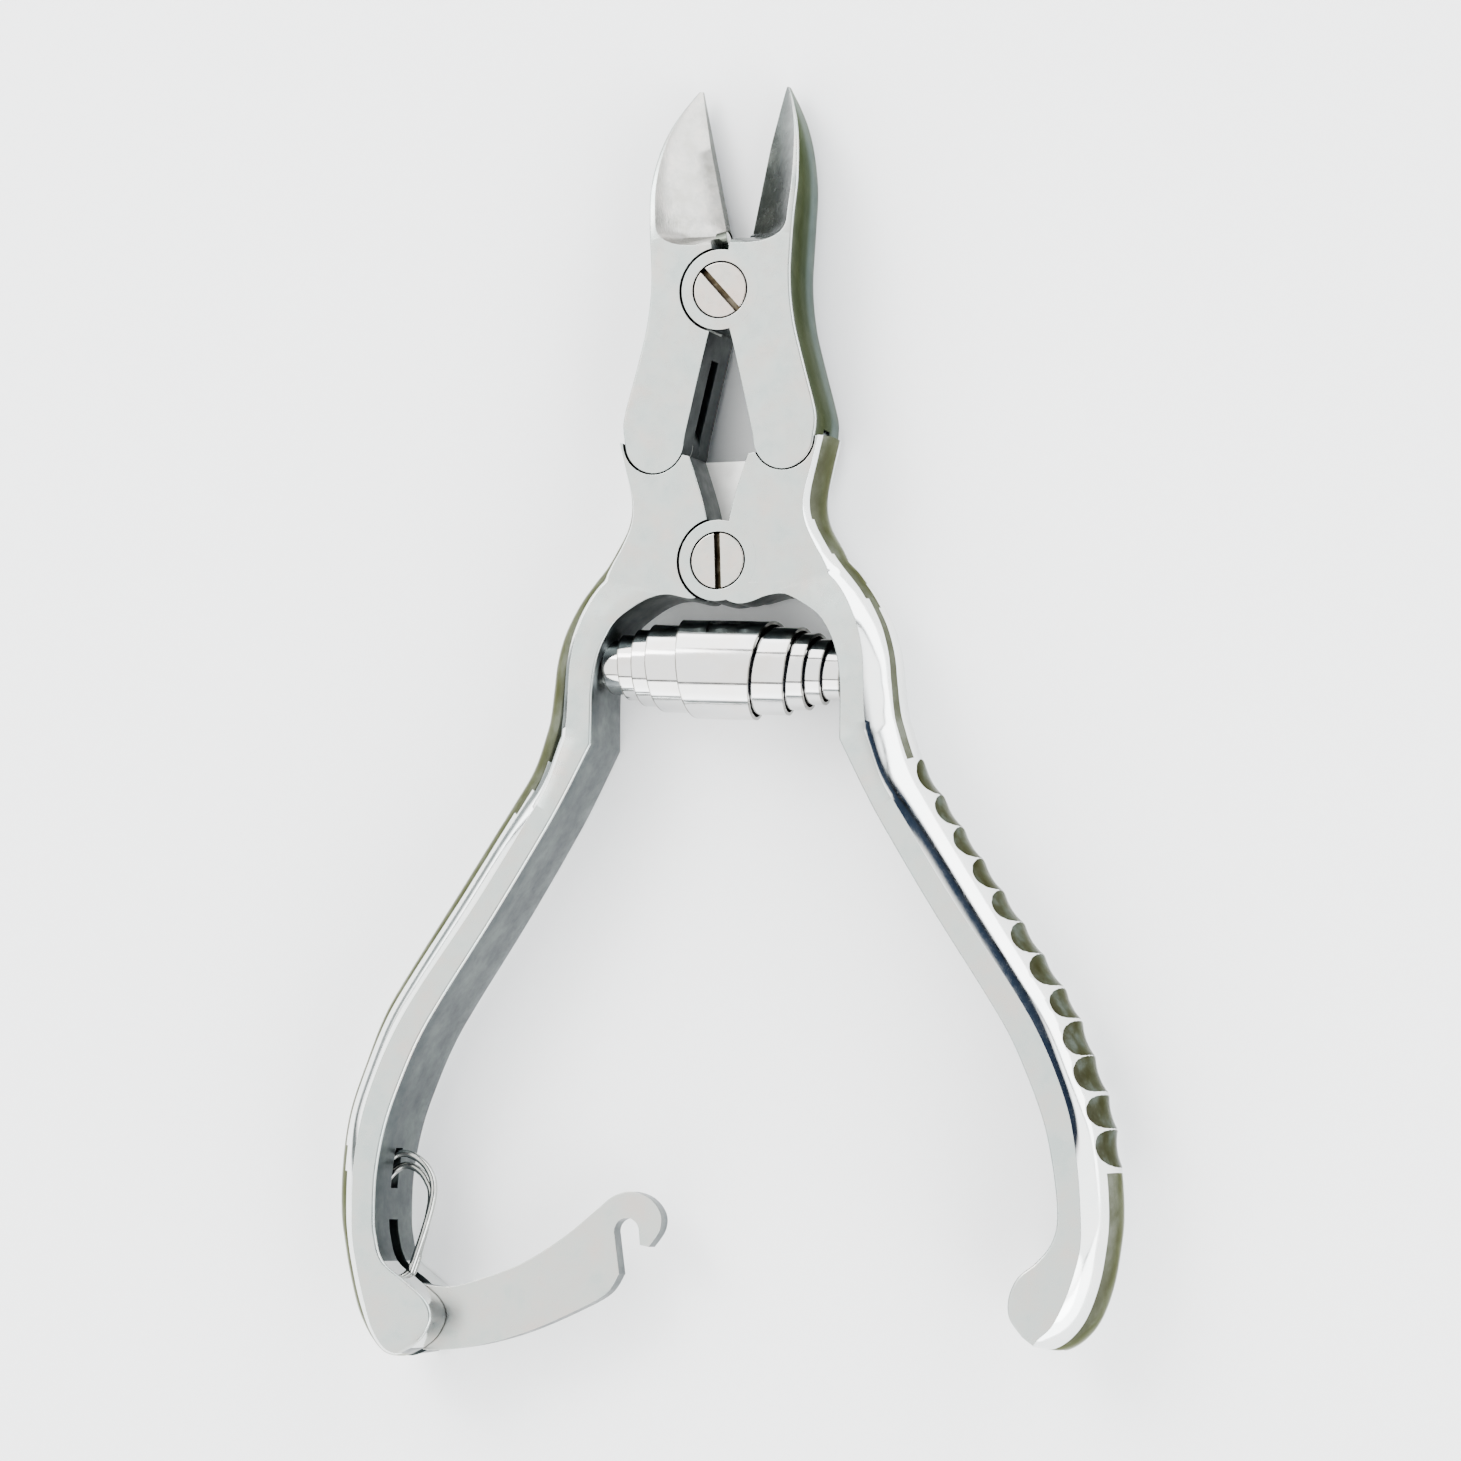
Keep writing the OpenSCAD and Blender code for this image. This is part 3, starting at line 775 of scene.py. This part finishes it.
EDGE_GAP = 0.02
LAND = 1.5
# Radius of the blade's arched top, and where along the blade it starts to fall.
ARCH_R = 24.0
ARCH_FROM = 6.6
# The hollow: where it starts, how far on it is at full width and full depth, and its share of the
# blade's width.
HOLLOW_FROM = 5.35
HOLLOW_WIDE = 3.4
HOLLOW_DEEP = 1.9
HOLLOW_REACH = 0.885
HOLLOW_SAG = 0.045
LEAST_RIM = 0.06
# The stop: a peg on the left jaw and a pocket for it in the right jaw.
STOP_Y = 6.1
STOP_DROP = 0.6
STOP_SIDES = 40
PEG_R = 1.15
POCKET_R = 1.4
# Lower corner of the slot in a jaw's arm that takes the handle's tongue, and the slot's turn.
ARM_SLOT_AT = (3.5, 15.4)
ARM_SLOT_TURN = math.radians(12.9)
# Blade, in the frame of blade_frame(): place along it and place of its outer side.
BLADE_ROWS = [[5.0, 7.15], [9.1, 6.55], [13.1, 5.9], [16.9, 4.7], [19.7, 3.4], [21.9, 1.95], [23.9, 0.35]]
# Arm, down from the pivot: inner x and y, outer x and y.
ARM_ROWS = [
    [0.72, 31.6, 7.95, 31.0],
    [0.66, 29.0, 8.05, 28.6],
    [0.8, 26.5, 8.35, 26.2],
    [1.45, 24.0, 8.75, 24.2],
    [2.4, 20.1, 9.85, 20.0],
    [3.05, 17.3, 10.62, 17.2],
    [3.5, 15.4, 11.0, 15.4],
    [3.85, 13.9, 10.98, 14.1],
]
SCOOP_STEPS = 20


def blade_frame(x, y):
    """A point given from the jaw pivot with the tool closed, turned to where it is with the tool open."""
    c, s = math.cos(SWING), math.sin(SWING)
    return (x * c + y * s, JAW_PIVOT[1] - x * s + y * c)


def jaw_section(top, low, rim, width):
    """Section as [distance from the inner wall, height, material]: land, hollow, rim and outer wall."""
    pts = [(0, 0, LAND_SKIN if low < top - 0.05 else WALL_SKIN)]
    for k in range(SCOOP_STEPS + 1):
        t = k / SCOOP_STEPS
        bow = HOLLOW_SAG * 4 * t * (1 - t)
        x = rim * t + bow * (top - low)
        z = low + (top - low) * t - bow * min(rim, (top - low) * 1.4)
        hollow = k < SCOOP_STEPS and low < top - 0.02
        pts.append((x, max(z, 0.12), HOLLOW_SKIN if hollow else FLAT_SKIN))
    corner = min(0.25, 0.2 * width, 0.3 * top)
    for k in range(4):
        a = math.pi / 2 * k / 3
        index = FLAT_SKIN if k < 3 else OUTER_SKIN
        pts.append((width - corner + corner * math.sin(a), top - corner + corner * math.cos(a), index))
    pts.append((width, top / 2, OUTER_SKIN))
    pts.append((width, 0, WALL_SKIN))
    return pts


def blade_rings():
    """Rings of the blade from its tip down: inner and outer point, top, foot and rim of the hollow."""
    rings = []
    for y, x_out in reversed(smooth(BLADE_ROWS, 10)):
        top = BOX_T - ARCH_R + math.sqrt(ARCH_R ** 2 - max(y - ARCH_FROM, 0) ** 2)
        reach = x_out * HOLLOW_REACH
        full = max(0.12, min(LAND, top - reach))
        near = (y - HOLLOW_FROM) / HOLLOW_WIDE
        rim = reach * math.sqrt(max(1 - (1 - min(max(near, 0.0), 1.0)) ** 2, 0.0))
        low = top - (top - full) * ease((y - HOLLOW_FROM) / HOLLOW_DEEP)
        rim = max(rim, LEAST_RIM * reach)
        rings.append((blade_frame(EDGE_GAP, y), blade_frame(x_out, y), top, low, rim))
    return rings


def arm_rings():
    """Rings of the arm from the foot of the blade to the round end at the knuckle."""
    rings = []
    start = [*blade_frame(EDGE_GAP, BLADE_ROWS[0][0]), *blade_frame(BLADE_ROWS[0][1], BLADE_ROWS[0][0])]
    for xi, yi, xo, yo in smooth([start] + ARM_ROWS, 6)[1:]:
        rings.append(((xi, yi), (xo, yo), BOX_T, BOX_T, LEAST_RIM * (xo - xi)))
    for degrees in range(2, 90, 6):
        a = math.radians(degrees)
        dx, dy = KNUCKLE_R * math.cos(a), KNUCKLE_R * math.sin(a)
        inner, outer = (KNUCKLE[0] - dx, KNUCKLE[1] - dy), (KNUCKLE[0] + dx, KNUCKLE[1] - dy)
        rings.append((inner, outer, BOX_T, BOX_T, LEAST_RIM * 2 * dx))
    return rings


def jaw(name, side, own, other, skins):
    """own holds the heights of this jaw's lap, other those of the room for the lap it turns on."""
    rings, columns = [], []
    for inner, outer, top, low, rim in blade_rings() + arm_rings():
        width = math.dist(inner, outer)
        ux, uy = (outer[0] - inner[0]) / width, (outer[1] - inner[1]) / width
        section = jaw_section(top, low, rim, width)
        rings.append([(side * (inner[0] + ux * s), inner[1] + uy * s, z) for s, z, _ in section])
        columns.append([p[2] for p in section])
    obj = skin(name, rings, skins, columns)
    knuckle = (side * KNUCKLE[0], KNUCKLE[1])
    fork = (MID - FORK_T / 2, MID + FORK_T / 2)
    cut(obj, disc("cutter", JAW_PIVOT, RECESS_R, *other, skins, FLAT_SKIN, GAP_SKIN))
    join(obj, disc("boss", JAW_PIVOT, BOSS_R, *own, skins, FLAT_SKIN, WALL_SKIN))
    cut(obj, disc("cutter", knuckle, KNUCKLE_R + 0.3, *fork, skins, WALL_SKIN, WALL_SKIN))
    slot = []
    for corner in ((-1, -3), (2.2, -3), (2.2, 7), (-1, 7)):
        x, y = turned(ARM_SLOT_AT, *corner, ARM_SLOT_TURN)
        slot.append((side * x, y))
    cut(obj, block("cutter", slot, *fork, skins))
    cut(obj, disc("cutter", knuckle, PIN_R + 0.02, UNDER, BOX_T - 1.3, skins, WALL_SKIN, WALL_SKIN, 48))
    return obj


def stub(name, side, r, x0, x1, mats, index, end_index):
    """Short round peg across the cutting line, near the jaw pivot."""
    rings = []
    for x, radius in ((x0, r), (x1 - 0.15, r), (x1 - 0.04, r - 0.05), (x1, r - 0.16)):
        ring = []
        for k in range(STOP_SIDES):
            a = 2 * math.pi * k / STOP_SIDES
            px, py = blade_frame(x, STOP_Y + radius * math.cos(a))
            ring.append((side * px, py, MID - STOP_DROP + radius * math.sin(a)))
        rings.append(ring)
    obj = skin(name, rings, mats, [index] * STOP_SIDES)
    obj.data.polygons[-1].material_index = end_index
    return obj


right_jaw = jaw("right_jaw_forged", 1, FRONT_LAP, UNDER_FRONT_LAP, RIGHT_JAW_SKINS)
screw_hole(right_jaw, JAW_PIVOT, RIGHT_JAW_SKINS)
cut(right_jaw, stub("cutter", 1, POCKET_R, -0.25, 0.9, RIGHT_JAW_SKINS, WALL_SKIN, WALL_SKIN))
put_in(right_jaw, "right_jaw", ["right_jaw"])

left_jaw = jaw("left_jaw_forged", -1, BACK_LAP, OVER_BACK_LAP, JAW_SKINS)
join(left_jaw, stub("peg", -1, PEG_R, 0.45, -0.65, JAW_SKINS, LAND_SKIN, PEG_END_SKIN))
put_in(left_jaw, "left_jaw", ["left_jaw"])

# ---------------------------------------------------------------- screws, pins and studs

SLOT_HALF = 0.34
SLOT_DEPTH = 0.85


def screw(name, centre, slot_angle, body, node):
    """Slotted screw whose flat head is flush with the box's front."""
    neck_z = BOX_T - HEAD_T
    profile = [
        (SHANK_R - 0.12, 0.0), (SHANK_R, 0.12), (SHANK_R, neck_z),
        (HEAD_R - 0.02, neck_z), (HEAD_R - 0.02, BOX_T - 0.1), (HEAD_R - 0.05, BOX_T - 0.03),
        (HEAD_R - 0.12, BOX_T), (HEAD_R * 0.6, BOX_T), (HEAD_R * 0.2, BOX_T),
    ]
    obj = lathe(name, profile, SCREW_SKINS, [0] * 8, (centre[0], centre[1], 0), count=96)
    corners = ((-4, -SLOT_HALF), (4, -SLOT_HALF), (4, SLOT_HALF), (-4, SLOT_HALF))
    outline = [turned(centre, *corner, math.radians(slot_angle)) for corner in corners]
    cut(obj, prism("cutter", outline, BOX_T - SLOT_DEPTH, BOX_T + 1, SCREW_SKINS, 1, 1))
    put_in(obj, body, [node])


screw("handle_screw_turned", PIVOT, 92, "left_handle", "handle_pivot_screw")
screw("jaw_screw_turned", JAW_PIVOT, -48, "left_jaw", "jaw_pivot_screw")


def pin(name, centre, r, z0, z1, body, node):
    """Plain pin with a slightly crowned, rounded end."""
    profile = [
        (r * 0.35, z0), (r * 0.8, z0 + 0.05), (r - 0.04, z0 + 0.13),
        (r, z0 + 0.25), (r, z1 - 0.1), (r - 0.1, z1),
    ]
    obj = lathe(name, profile, [SCREW], [0] * 5, (centre[0], centre[1], 0), count=64)
    put_in(obj, body, [node])


LEFT_KNUCKLE = (-KNUCKLE[0], KNUCKLE[1])
knuckle_z = (0.05, BOX_T - 1.4)
pin("right_knuckle_pin_turned", KNUCKLE, PIN_R, *knuckle_z, "right_jaw", "right_knuckle_pin")
pin("left_knuckle_pin_turned", LEFT_KNUCKLE, PIN_R, *knuckle_z, "left_jaw", "left_knuckle_pin")
pin("latch_pin_turned", LATCH_PIVOT, PIN_R, -1.3, 7.8, "left_handle", "latch_pin")
pin("catch_pin_turned", CATCH, PIN_R, -1.1, 7.8, "right_handle", "catch_pin")


def stud(name, side, body, node):
    """Stud that holds one end of the barrel spring."""
    profile = [
        (STUD_R, SEAT_X + 1.9), (STUD_R, SEAT_X), (1.7, SEAT_X), (1.7, SEAT_X - 2.0),
        (1.6, SEAT_X - 2.2), (1.3, SEAT_X - 2.35), (0.6, SEAT_X - 2.4),
    ]
    obj = lathe(name, [(r, side * a) for r, a in profile], [WIRE], [0] * 6, (0, SPRING_Y, MID), "X", 48)
    put_in(obj, body, [node])


stud("right_stud_turned", 1, "right_handle", "right_spring_stud")
stud("left_stud_turned", -1, "left_handle", "left_spring_stud")

# ---------------------------------------------------------------- barrel spring

# One tapered strip rolled up: turns counted inwards from the front of the outer turn, and half the
# strip's width there.
STRIP_HALF = [(-0.55, 2.3), (0.0, 4.25), (1.0, 8.0), (2.0, 9.8), (3.0, 11.6), (4.0, 13.6), (4.45, 13.85)]
STRIP_T = 0.34


def strip_half(t):
    """Half the strip's width, t turns in."""
    for (t0, w0), (t1, w1) in zip(STRIP_HALF, STRIP_HALF[1:]):
        if t <= t1:
            return w0 + (w1 - w0) * (t - t0) / (t1 - t0)
    return STRIP_HALF[-1][1]


OUTER_R = 5.35
TURN_STEP = 0.6
PER_TURN = 72
ACROSS = 24
HEM = 0.13
STRIP_LEAN = math.radians(-2.6)

verts, faces, indices = [], [], []
first, last_turn = STRIP_HALF[0][0], STRIP_HALF[-1][0]
steps = int((last_turn - first) * PER_TURN)
for i in range(steps + 1):
    t = first + (last_turn - first) * i / steps
    r = OUTER_R - STRIP_T / 2 - TURN_STEP * max(t, -0.4)
    half = strip_half(t)
    a = math.pi / 2 - 2 * math.pi * t
    for j in range(ACROSS + 1):
        if 0 < j < ACROSS:
            x = (half - HEM) * (2 * (j - 1) / (ACROSS - 2) - 1)
        else:
            x = half * (2 * j / ACROSS - 1)
        verts.append((x, r * math.cos(a), r * math.sin(a)))
for i in range(steps):
    for j in range(ACROSS):
        a, b = i * (ACROSS + 1) + j, (i + 1) * (ACROSS + 1) + j
        faces.append((a, a + 1, b + 1, b))
        # The hems at the two edges take the painted shade.
        indices.append(0 if 0 < j < ACROSS - 1 else 1)
strip = new_object("barrel_spring_rolled", verts, faces, [STRIP, STRIP_EDGE_SHADE], indices)
solid = strip.modifiers.new("thickness", "SOLIDIFY")
solid.thickness = STRIP_T
solid.offset = 0
bpy.context.view_layer.update()
evaluated_strip = strip.evaluated_get(bpy.context.evaluated_depsgraph_get())
strip.data = bpy.data.meshes.new_from_object(evaluated_strip)
strip.modifiers.clear()
strip.data.transform(Matrix.Rotation(STRIP_LEAN, 4, "Z"))
strip.data.transform(Matrix.Translation((0, SPRING_Y, MID)))
put_in(strip, None, ["barrel_spring"], 35.0)
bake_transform(strip)

# ---------------------------------------------------------------- latch

# Outline of the latch plate: its upper edge with the hook's nose, the mouth and its lower edge.
top = smooth(
    [
        [-35, -77.7], [-31.2, -78], [-27.5, -77.1], [-22.8, -75.4], [-18.05, -72.6], [-14.1, -69.5],
        [-12.3, -68.1], [-10.3, -67.6], [-8.2, -68.3], [-6.9, -69.9], [-6.95, -71.7], [-8.2, -73.5],
    ],
    8,
)
MOUTH_R = 1.42
mouth = []
for degrees in range(0, 181, 9):
    a = math.radians(degrees)
    mouth.append([HOOK[0] + MOUTH_R * math.cos(a), HOOK[1] + MOUTH_R * math.sin(a)])
bottom = smooth(
    [
        [-11.55, -76.4], [-13.1, -78.6], [-16.9, -80.6], [-22.1, -82.75], [-27.4, -84.2],
        [-32.8, -84.9], [-35, -84.6],
    ],
    8,
)
outline = list(reversed(top + [[-9.2, -73.3]] + mouth + bottom))
plate_z = (MID - PLATE_T / 2, MID + PLATE_T / 2)
hook = prism("latch_hook_blanked", outline, *plate_z, PLATE_SKINS, 0, 1)
join(hook, disc("eye", LATCH_PIVOT, 3.45, *plate_z, PLATE_SKINS, 0, 1, 64))
cut(hook, disc("cutter", LATCH_PIVOT, PIN_R + RUN_GAP, 0, 10, PLATE_SKINS, 1, 1, 48))
put_in(hook, "latch_hook", ["latch_hook"])

WIRE_POINTS = [
    [-40.4, -66.6], [-39.5, -65.2], [-38.4, -64.1], [-37.1, -63.6], [-35.7, -63.95], [-34.5, -64.8],
    [-33.7, -66], [-33.4, -67.4], [-33.65, -69.2], [-34.4, -71.8], [-35.4, -74.7], [-36.05, -76.5],
]
WIRE_R = 0.4
WIRE_SIDES = 18
APART = 0.45
BEND_STEPS = 12
# The back leg of the loop leans in towards this point.
LEAN_TO = (-37.0, -69.0)
LEAN_SHARE = 0.24

route = smooth(WIRE_POINTS, 6)
end = route[-1]
way = (end[0] - route[-2][0], end[1] - route[-2][1])
length = math.hypot(*way)
way = (way[0] / length, way[1] / length)
path = [(x, y, MID + APART) for x, y in route]
for k in range(1, BEND_STEPS):
    a = math.pi * k / BEND_STEPS
    reach = APART * math.sin(a)
    path.append((end[0] + way[0] * reach, end[1] + way[1] * reach, MID + APART * math.cos(a)))
for i, (x, y) in enumerate(reversed(route)):
    inwards = LEAN_SHARE * min(i / 30, 1.0) * (1 if y > -75 else 0.3)
    path.append((x + (LEAN_TO[0] - x) * inwards, y + (LEAN_TO[1] - y) * inwards, MID - APART))
rings = []
side_way = Vector((0, 0, 1))
for i, p in enumerate(path):
    ahead = Vector(path[min(i + 1, len(path) - 1)]) - Vector(path[max(i - 1, 0)])
    ahead.normalize()
    side_way = (side_way - ahead * side_way.dot(ahead)).normalized()
    up = ahead.cross(side_way)
    ring = []
    for k in range(WIRE_SIDES):
        a = 2 * math.pi * k / WIRE_SIDES
        ring.append(tuple(Vector(p) + (side_way * math.cos(a) + up * math.sin(a)) * WIRE_R))
    rings.append(ring)
wire = skin("latch_wire_bent", rings, [WIRE], [0] * WIRE_SIDES)
put_in(wire, "left_handle", ["latch_spring"], 40.0)

# ---------------------------------------------------------------- floor, light and camera


def plain(name, colour, rough):
    """Dull material with a faint grain."""
    mat = bpy.data.materials.new(name)
    mat.use_nodes = True
    nodes, link = links(mat)
    shader = nodes["Principled BSDF"]
    shader.inputs["Roughness"].default_value = rough
    where = nodes.new("ShaderNodeTexCoord").outputs["Object"]
    grain = noise(nodes, link, where, 900.0)
    darker = tuple(c * 0.985 for c in colour)
    tint = ramp(nodes, link, grain, [(0.3, colour), (0.7, darker)])
    link.new(tint, shader.inputs["Base Color"])
    return mat


# The floor is made in metres, as put_in() doesn't finish it.
FLOOR_HALF = 3
FLOOR_Z = -0.0015
paper = plain("floor_paper", (0.93, 0.935, 0.94), 0.9)
floor_verts = []
for x, y in ((-1, -1), (1, -1), (1, 1), (-1, 1)):
    floor_verts.append((x * FLOOR_HALF, y * FLOOR_HALF, FLOOR_Z))
floor = new_object("floor", floor_verts, [(0, 1, 2, 3)], [paper])

world = bpy.data.worlds.new("soft_dome")
bpy.context.scene.world = world
world.use_nodes = True
w_nodes, w_links = world.node_tree.nodes, world.node_tree.links
direction = w_nodes.new("ShaderNodeTexCoord").outputs["Generated"]
apart = w_nodes.new("ShaderNodeSeparateXYZ")
w_links.new(direction, apart.inputs["Vector"])


def lean(axis):
    """How far a direction leans from straight up towards an axis, from 0 at -90 to 1 at 90 degrees."""
    angle = w_nodes.new("ShaderNodeMath")
    angle.operation = "ARCTAN2"
    w_links.new(apart.outputs[axis], angle.inputs[0])
    w_links.new(apart.outputs["Z"], angle.inputs[1])
    share = w_nodes.new("ShaderNodeMapRange")
    share.inputs["From Min"].default_value = -math.pi / 2
    share.inputs["From Max"].default_value = math.pi / 2
    w_links.new(angle.outputs["Value"], share.inputs["Value"])
    return share.outputs["Result"]


def zones(axis, stops):
    """Colour of the sky by how many degrees a direction leans towards an axis."""
    return ramp(w_nodes, w_links, lean(axis), [((degrees + 90) / 180, colour) for degrees, colour in stops])


# Across the tool: a dark left horizon, a bright left side, a pale middle, and a near black band on
# the right that the crowns mirror as a dark blue line, with a bright right side beyond it.
DUSK = (0.08, 0.09, 0.09)
PALE = (0.92, 0.92, 0.91)
across = zones(
    "X",
    [
        (-90, DUSK), (-76, DUSK), (-66, (1.2, 1.22, 1.24)), (-40, PALE), (5, PALE),
        (13, (0.010, 0.018, 0.034)), (38, (0.002, 0.004, 0.010)), (46, (1.25, 1.28, 1.3)),
    ],
)
# Along the tool: a middle panel and two bright ones, parted by dark lines.
BRIGHT = (1.5, 1.5, 1.5)
LINE = (0.05, 0.05, 0.05)
PANEL = (0.77, 0.77, 0.765)
along = zones(
    "Y",
    [
        (-90, BRIGHT), (-42, BRIGHT), (-39.5, LINE), (-36.5, LINE), (-34, PANEL),
        (38, PANEL), (40.5, LINE), (43.5, LINE), (46, BRIGHT),
    ],
)
both = w_nodes.new("ShaderNodeVectorMath")
both.operation = "MULTIPLY"
w_links.new(across, both.inputs[0])
w_links.new(along, both.inputs[1])
w_links.new(both.outputs["Vector"], w_nodes["Background"].inputs["Color"])
w_nodes["Background"].inputs["Strength"].default_value = 5.0


def lamp(name, place, target, size, watts):
    data = bpy.data.lights.new(name, "AREA")
    data.shape = "DISK"
    data.size = size
    data.energy = watts
    obj = bpy.data.objects.new(name, data)
    bpy.context.scene.collection.objects.link(obj)
    obj.location = place
    obj.rotation_euler = (Vector(target) - Vector(place)).to_track_quat("-Z", "Y").to_euler()


lamp("key", (-0.55, 0.55, 0.7), (0, -0.02, 0), 0.5, 9.0)
lamp("fill", (0.7, -0.5, 0.6), (0, -0.02, 0), 0.6, 6.0)

# The camera looks at the target from the tool's right and a little from the grips' end.
AZIMUTH = math.radians(19.49)
TILT = math.radians(5.05)
ROLL = math.radians(-0.50)
DISTANCE = 0.5934
VIEW_ANGLE = math.radians(15.11)
r_way = Vector((math.cos(AZIMUTH), 0, -math.sin(AZIMUTH)))
u_way = Vector((math.sin(AZIMUTH) * math.sin(TILT), math.cos(TILT), math.cos(AZIMUTH) * math.sin(TILT)))
w_way = Vector((math.sin(AZIMUTH) * math.cos(TILT), -math.sin(TILT), math.cos(AZIMUTH) * math.cos(TILT)))
target = Vector((0, -0.020, 0.004)) + r_way * 0.00024 + u_way * 0.00199
camera = bpy.data.cameras.new("camera")
camera.angle = VIEW_ANGLE
camera.clip_start = 0.01
camera_object = bpy.data.objects.new("camera", camera)
bpy.context.scene.collection.objects.link(camera_object)
turned_r = r_way * math.cos(ROLL) - u_way * math.sin(ROLL)
turned_u = r_way * math.sin(ROLL) + u_way * math.cos(ROLL)
rows = Matrix((turned_r, turned_u, w_way)).transposed().to_4x4()
rows.translation = target + w_way * DISTANCE
camera_object.matrix_world = rows
bpy.context.scene.camera = camera_object
